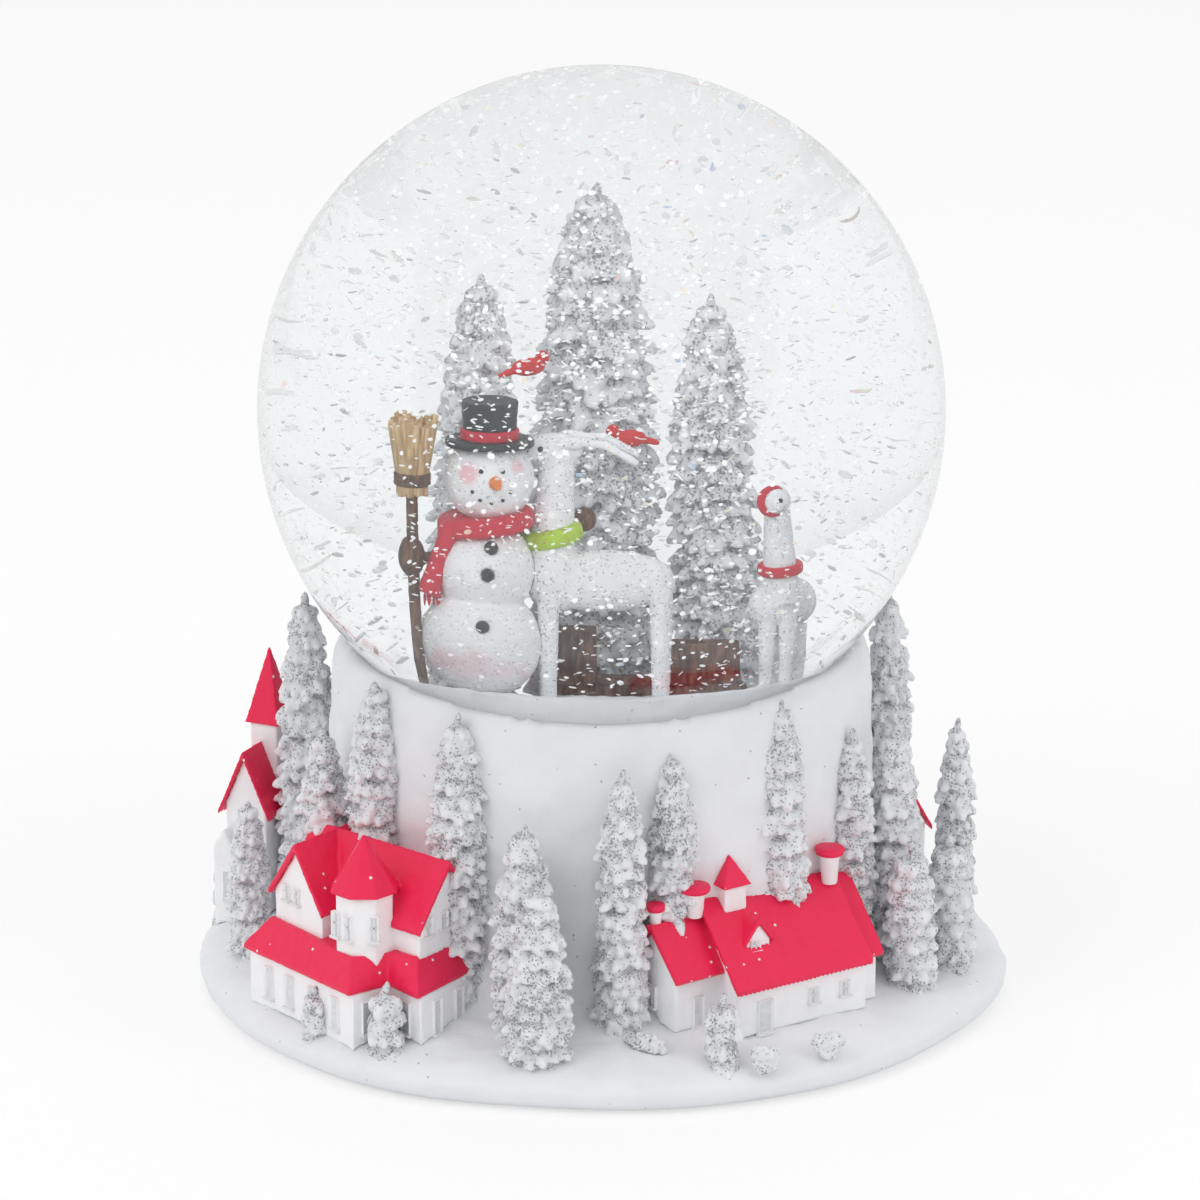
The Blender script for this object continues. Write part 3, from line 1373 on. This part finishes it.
def felt_paint():
    """Pressed black felt: matted fibres that catch a little light."""
    mix = Paint("felt_paint")
    fibre = mix.noise(0.40 * MM, 5.0, (1.0, 0.35, 1.0))
    other = mix.noise(0.36 * MM, 5.0, (0.35, 1.0, 1.0))
    mat = (fibre + other) * 0.5
    colour = mix.mix(mat.step(0.35, 0.68), (0.016, 0.016, 0.018, 1), (0.085, 0.085, 0.090, 1))
    return mix.surface(Base_Color=colour, Roughness=mat * 0.1 + 0.85, Sheen_Weight=0.35,
                       Normal=mix.bump(mat, 0.25 * MM, 0.9))


def make_underside():
    """Felt ring, bottom plate with its screws, and the key in its recess."""
    ring = cad_copy("felt_pad", "felt_ring")
    recast(ring, 0.45 * MM)
    roughen(ring, 0.16 * MM, 0.7 * MM, middle=1.0)
    shade(ring)
    finish_piece(ring, "felt_black", paint(felt_paint), "felt_ring")
    paint_node("bottom_plate", paint(moulded, "plate_plastic", 0.80, 0.80, 0.79, 0.5, 0.03))
    paint_node("rubber_plug", paint(moulded, "plug_rubber", 0.74, 0.80, 0.78, 0.75, 0.06))
    zinc_plated = paint(brushed, "zinc_plated_screws", 0.66, 0.66, 0.65, 0.34, (1.0, 1.0, 0.1))
    for node in ("plate_screws", "movement_screws", "comb_and_frame_screws"):
        paint_node(node, zinc_plated)
    paint_node("winding_key", paint(brushed, "key_plating", 0.64, 0.63, 0.61, 0.30, (0.15, 1.0, 1.0)))


def make_movement():
    """The wind-up movement: a paint for each metal and plastic of its pieces."""
    turned_brass = paint(brushed, "turned_brass", 0.83, 0.62, 0.27, 0.32, (1.0, 0.04, 0.04))
    spun_brass = paint(brushed, "spun_brass", 0.83, 0.62, 0.27, 0.34, (0.3, 0.3, 1.0))
    spring_steel = paint(brushed, "spring_steel", 0.52, 0.53, 0.56, 0.30, (1.0, 0.08, 0.5))
    nylon = paint(moulded, "nylon_wheels", 0.78, 0.77, 0.72, 0.45, 0.015)
    paint_node("movement_bedplate", paint(die_cast))
    for node in ("pinned_cylinder", "cylinder_gear"):
        paint_node(node, turned_brass)
    for node in ("spring_barrel", "barrel_cover"):
        paint_node(node, spun_brass)
    for node in ("comb", "mainspring", "cylinder_shaft", "winding_arbor", "governor_frame"):
        paint_node(node, spring_steel)
    for node in ("governor_wheel", "governor_worm", "governor_fan"):
        paint_node(node, nylon)


# ---------------------------------------------------------------- stage

CAMERA_X = -0.25 * MM


def background_rays(mix):
    """1 for what the camera, mirrors and clear things see of the room, 0 for what lights the object."""
    camera, mirrored, through = (mix.node("ShaderNodeLightPath", output=f"Is {ray} Ray")
                                 for ray in ("Camera", "Glossy", "Transmission"))
    return camera.or_more(mirrored).or_more(through)


def floor_paint():
    """A pale floor that shows nearly white and keeps a faint shadow."""
    mix = Paint("studio_floor")
    tone = mix.noise(0.4, 2.0)
    matte = mix.node("ShaderNodeBsdfPrincipled", None, {
        "Base Color": (0.985, 0.985, 0.985, 1), "Roughness": tone * 0.05 + 0.8, "Specular IOR Level": 0.0})
    white = mix.node("ShaderNodeEmission", None, {"Color": WHITE, "Strength": 1.0})
    share = background_rays(mix) * 0.60
    return mix.closed(mix.node("ShaderNodeMixShader", None, {0: share, 1: matte, 2: white}))


def daylight():
    """Light from all round; the camera, mirrors and clear things see white."""
    mix = Paint("daylight", "worlds")
    room = mix.node("ShaderNodeBackground", None, {"Color": WHITE, "Strength": studio().daylight})
    white = mix.node("ShaderNodeBackground", None, {"Color": WHITE, "Strength": 1.0})
    both = mix.node("ShaderNodeMixShader", None, {0: background_rays(mix), 1: room, 2: white})
    return mix.closed(both, "ShaderNodeOutputWorld")


def lamp(name, at, side, power, only_for=None):
    """A soft square lamp that faces the ball."""
    bpy.ops.object.light_add(type="AREA", location=at)
    piece = active(name)
    piece.data.size = side
    piece.data.energy = power
    piece.visible_glossy = False
    piece.visible_transmission = False
    piece.light_linking.receiver_collection = only_for
    piece.rotation_euler = (Vector(at) - Vector((0, 0, BALL_Z))).to_track_quat("Z", "Y").to_euler()


def make_stage():
    """Floor, daylight, soft lamps and camera."""
    floor = added("studio_floor", bpy.ops.mesh.primitive_grid_add, x_subdivisions=16, y_subdivisions=16,
                  size=12, location=(0, 0, 0))
    floor.data.materials.append(paint(floor_paint))
    scene = bpy.context.scene
    scene.view_settings.view_transform = "Standard"
    scene.world = daylight()
    lamp("window_left", (-1.3, -1.1, 1.5), 1.3, 11.0)
    lamp("window_right", (1.4, -0.9, 1.1), 1.3, 6.0)
    lamp("ceiling", (0.0, 0.3, 2.0), 1.6, 9.0)
    lamp("front", (0.1, -1.3, 0.7), 0.9, 11.0, IN_THE_BALL)
    view = studio()
    across = view.reach * math.cos(view.rise)
    bpy.ops.object.camera_add(location=(CAMERA_X, -across, BALL_Z + view.reach * math.sin(view.rise)),
                              rotation=(math.pi / 2 - view.pitch, 0, 0))
    camera = active("studio_camera")
    camera.data.sensor_width = 36.0
    camera.data.lens = view.focal
    scene.camera = camera


# ---------------------------------------------------------------- add-on


class SNOWGLOBE_OT_stage(bpy.types.Operator):
    """Sets the floor, the daylight, the lamps and the camera"""

    bl_idname = "snowglobe.stage"
    bl_label = "Studio"

    def execute(self, context):
        make_stage()
        return {"FINISHED"}


class SNOWGLOBE_OT_cast_base(bpy.types.Operator):
    """Makes the snowy base casting"""

    bl_idname = "snowglobe.cast_base"
    bl_label = "Cast base"

    def execute(self, context):
        make_base()
        return {"FINISHED"}


class SNOWGLOBE_OT_bushes(bpy.types.Operator):
    """Makes the bushes at the foot of the houses"""

    bl_idname = "snowglobe.bushes"
    bl_label = "Bushes"

    def execute(self, context):
        make_bushes()
        return {"FINISHED"}


class SNOWGLOBE_OT_outer_firs(bpy.types.Operator):
    """Plants the firs round the base"""

    bl_idname = "snowglobe.outer_firs"
    bl_label = "Firs"

    def execute(self, context):
        make_firs()
        return {"FINISHED"}


class SNOWGLOBE_OT_turret_house(bpy.types.Operator):
    """Makes the house with the turret and porch"""

    bl_idname = "snowglobe.turret_house"
    bl_label = "Turret house"

    def execute(self, context):
        make_turret_house()
        return {"FINISHED"}


class SNOWGLOBE_OT_cottage(bpy.types.Operator):
    """Makes the cottage with its chimneys"""

    bl_idname = "snowglobe.cottage"
    bl_label = "Cottage"

    def execute(self, context):
        make_cottage()
        return {"FINISHED"}


class SNOWGLOBE_OT_church(bpy.types.Operator):
    """Makes the church with its spire"""

    bl_idname = "snowglobe.church"
    bl_label = "Church"

    def execute(self, context):
        make_church()
        return {"FINISHED"}


class SNOWGLOBE_OT_back_cottages(bpy.types.Operator):
    """Makes the small cottages behind"""

    bl_idname = "snowglobe.back_cottages"
    bl_label = "Back cottages"

    def execute(self, context):
        make_back_cottages()
        return {"FINISHED"}


class SNOWGLOBE_OT_glass(bpy.types.Operator):
    """Blows the glass ball"""

    bl_idname = "snowglobe.glass"
    bl_label = "Glass ball"

    def execute(self, context):
        make_glass()
        return {"FINISHED"}


class SNOWGLOBE_OT_water(bpy.types.Operator):
    """Fills the ball with water"""

    bl_idname = "snowglobe.water"
    bl_label = "Water"

    def execute(self, context):
        make_water()
        return {"FINISHED"}


class SNOWGLOBE_OT_flakes(bpy.types.Operator):
    """Floats the snow flakes"""

    bl_idname = "snowglobe.flakes"
    bl_label = "Flakes"

    def execute(self, context):
        make_flakes()
        return {"FINISHED"}


class SNOWGLOBE_OT_ground(bpy.types.Operator):
    """Makes the snowy ground in the ball"""

    bl_idname = "snowglobe.ground"
    bl_label = "Ground"

    def execute(self, context):
        make_ground()
        return {"FINISHED"}


class SNOWGLOBE_OT_snowman(bpy.types.Operator):
    """Makes the snowman with hat, face and arms"""

    bl_idname = "snowglobe.snowman"
    bl_label = "Snowman"

    def execute(self, context):
        make_snowman()
        return {"FINISHED"}


class SNOWGLOBE_OT_scarf(bpy.types.Operator):
    """Knits the snowman's scarf"""

    bl_idname = "snowglobe.scarf"
    bl_label = "Scarf"

    def execute(self, context):
        make_scarf()
        return {"FINISHED"}


class SNOWGLOBE_OT_broom(bpy.types.Operator):
    """Binds the snowman's broom"""

    bl_idname = "snowglobe.broom"
    bl_label = "Broom"

    def execute(self, context):
        make_broom()
        return {"FINISHED"}


class SNOWGLOBE_OT_big_deer(bpy.types.Operator):
    """Makes the big deer and its scarf"""

    bl_idname = "snowglobe.big_deer"
    bl_label = "Big deer"

    def execute(self, context):
        make_big_deer()
        return {"FINISHED"}


class SNOWGLOBE_OT_small_deer(bpy.types.Operator):
    """Makes the small deer and its bridle"""

    bl_idname = "snowglobe.small_deer"
    bl_label = "Small deer"

    def execute(self, context):
        make_small_deer()
        return {"FINISHED"}


class SNOWGLOBE_OT_sleigh(bpy.types.Operator):
    """Makes the sleigh"""

    bl_idname = "snowglobe.sleigh"
    bl_label = "Sleigh"

    def execute(self, context):
        make_sleigh()
        return {"FINISHED"}


class SNOWGLOBE_OT_birds(bpy.types.Operator):
    """Makes the red birds"""

    bl_idname = "snowglobe.birds"
    bl_label = "Birds"

    def execute(self, context):
        make_birds()
        return {"FINISHED"}


class SNOWGLOBE_OT_inner_firs(bpy.types.Operator):
    """Grows the firs in the ball"""

    bl_idname = "snowglobe.inner_firs"
    bl_label = "Silver firs"

    def execute(self, context):
        make_inner_firs()
        return {"FINISHED"}


class SNOWGLOBE_OT_underside(bpy.types.Operator):
    """Makes the felt pad and paints plate, screws and key"""

    bl_idname = "snowglobe.underside"
    bl_label = "Underside"

    def execute(self, context):
        make_underside()
        return {"FINISHED"}


class SNOWGLOBE_OT_movement(bpy.types.Operator):
    """Paints the wind-up movement"""

    bl_idname = "snowglobe.movement"
    bl_label = "Movement"

    def execute(self, context):
        make_movement()
        return {"FINISHED"}


OPERATORS = (
    SNOWGLOBE_OT_stage,
    SNOWGLOBE_OT_cast_base,
    SNOWGLOBE_OT_bushes,
    SNOWGLOBE_OT_outer_firs,
    SNOWGLOBE_OT_turret_house,
    SNOWGLOBE_OT_cottage,
    SNOWGLOBE_OT_church,
    SNOWGLOBE_OT_back_cottages,
    SNOWGLOBE_OT_glass,
    SNOWGLOBE_OT_water,
    SNOWGLOBE_OT_flakes,
    SNOWGLOBE_OT_ground,
    SNOWGLOBE_OT_snowman,
    SNOWGLOBE_OT_scarf,
    SNOWGLOBE_OT_broom,
    SNOWGLOBE_OT_big_deer,
    SNOWGLOBE_OT_small_deer,
    SNOWGLOBE_OT_sleigh,
    SNOWGLOBE_OT_birds,
    SNOWGLOBE_OT_inner_firs,
    SNOWGLOBE_OT_underside,
    SNOWGLOBE_OT_movement,
)


class SNOWGLOBE_PT_sidebar(bpy.types.Panel):
    """The snow globe in the 3D view's sidebar"""

    bl_label = "Snow Globe"
    bl_idname = "SNOWGLOBE_PT_sidebar"
    bl_space_type = "VIEW_3D"
    bl_region_type = "UI"
    bl_category = "Snow Globe"

    def draw(self, context):
        scene = context.scene
        for group in (scene.snow_globe_sizes, scene.snow_globe_colours, scene.snow_globe_studio):
            box = self.layout.box()
            for name in group.__annotations__:
                box.prop(group, name)
        for operator in OPERATORS:
            self.layout.operator(operator.bl_idname)


CLASSES = (SnowGlobeSizes, SnowGlobeColours, SnowGlobeStudio) + OPERATORS + (SNOWGLOBE_PT_sidebar,)


def register():
    for kind in CLASSES:
        bpy.utils.register_class(kind)
    bpy.types.Scene.snow_globe_sizes = bpy.props.PointerProperty(type=SnowGlobeSizes)
    bpy.types.Scene.snow_globe_colours = bpy.props.PointerProperty(type=SnowGlobeColours)
    bpy.types.Scene.snow_globe_studio = bpy.props.PointerProperty(type=SnowGlobeStudio)


def unregister():
    del bpy.types.Scene.snow_globe_studio
    del bpy.types.Scene.snow_globe_colours
    del bpy.types.Scene.snow_globe_sizes
    for kind in reversed(CLASSES):
        bpy.utils.unregister_class(kind)


def main():
    register()
    for operator in OPERATORS:
        getattr(bpy.ops.snowglobe, operator.bl_idname.split(".")[1])()
    bpy.context.view_layer.update()


if __name__ == "__main__":
    main()
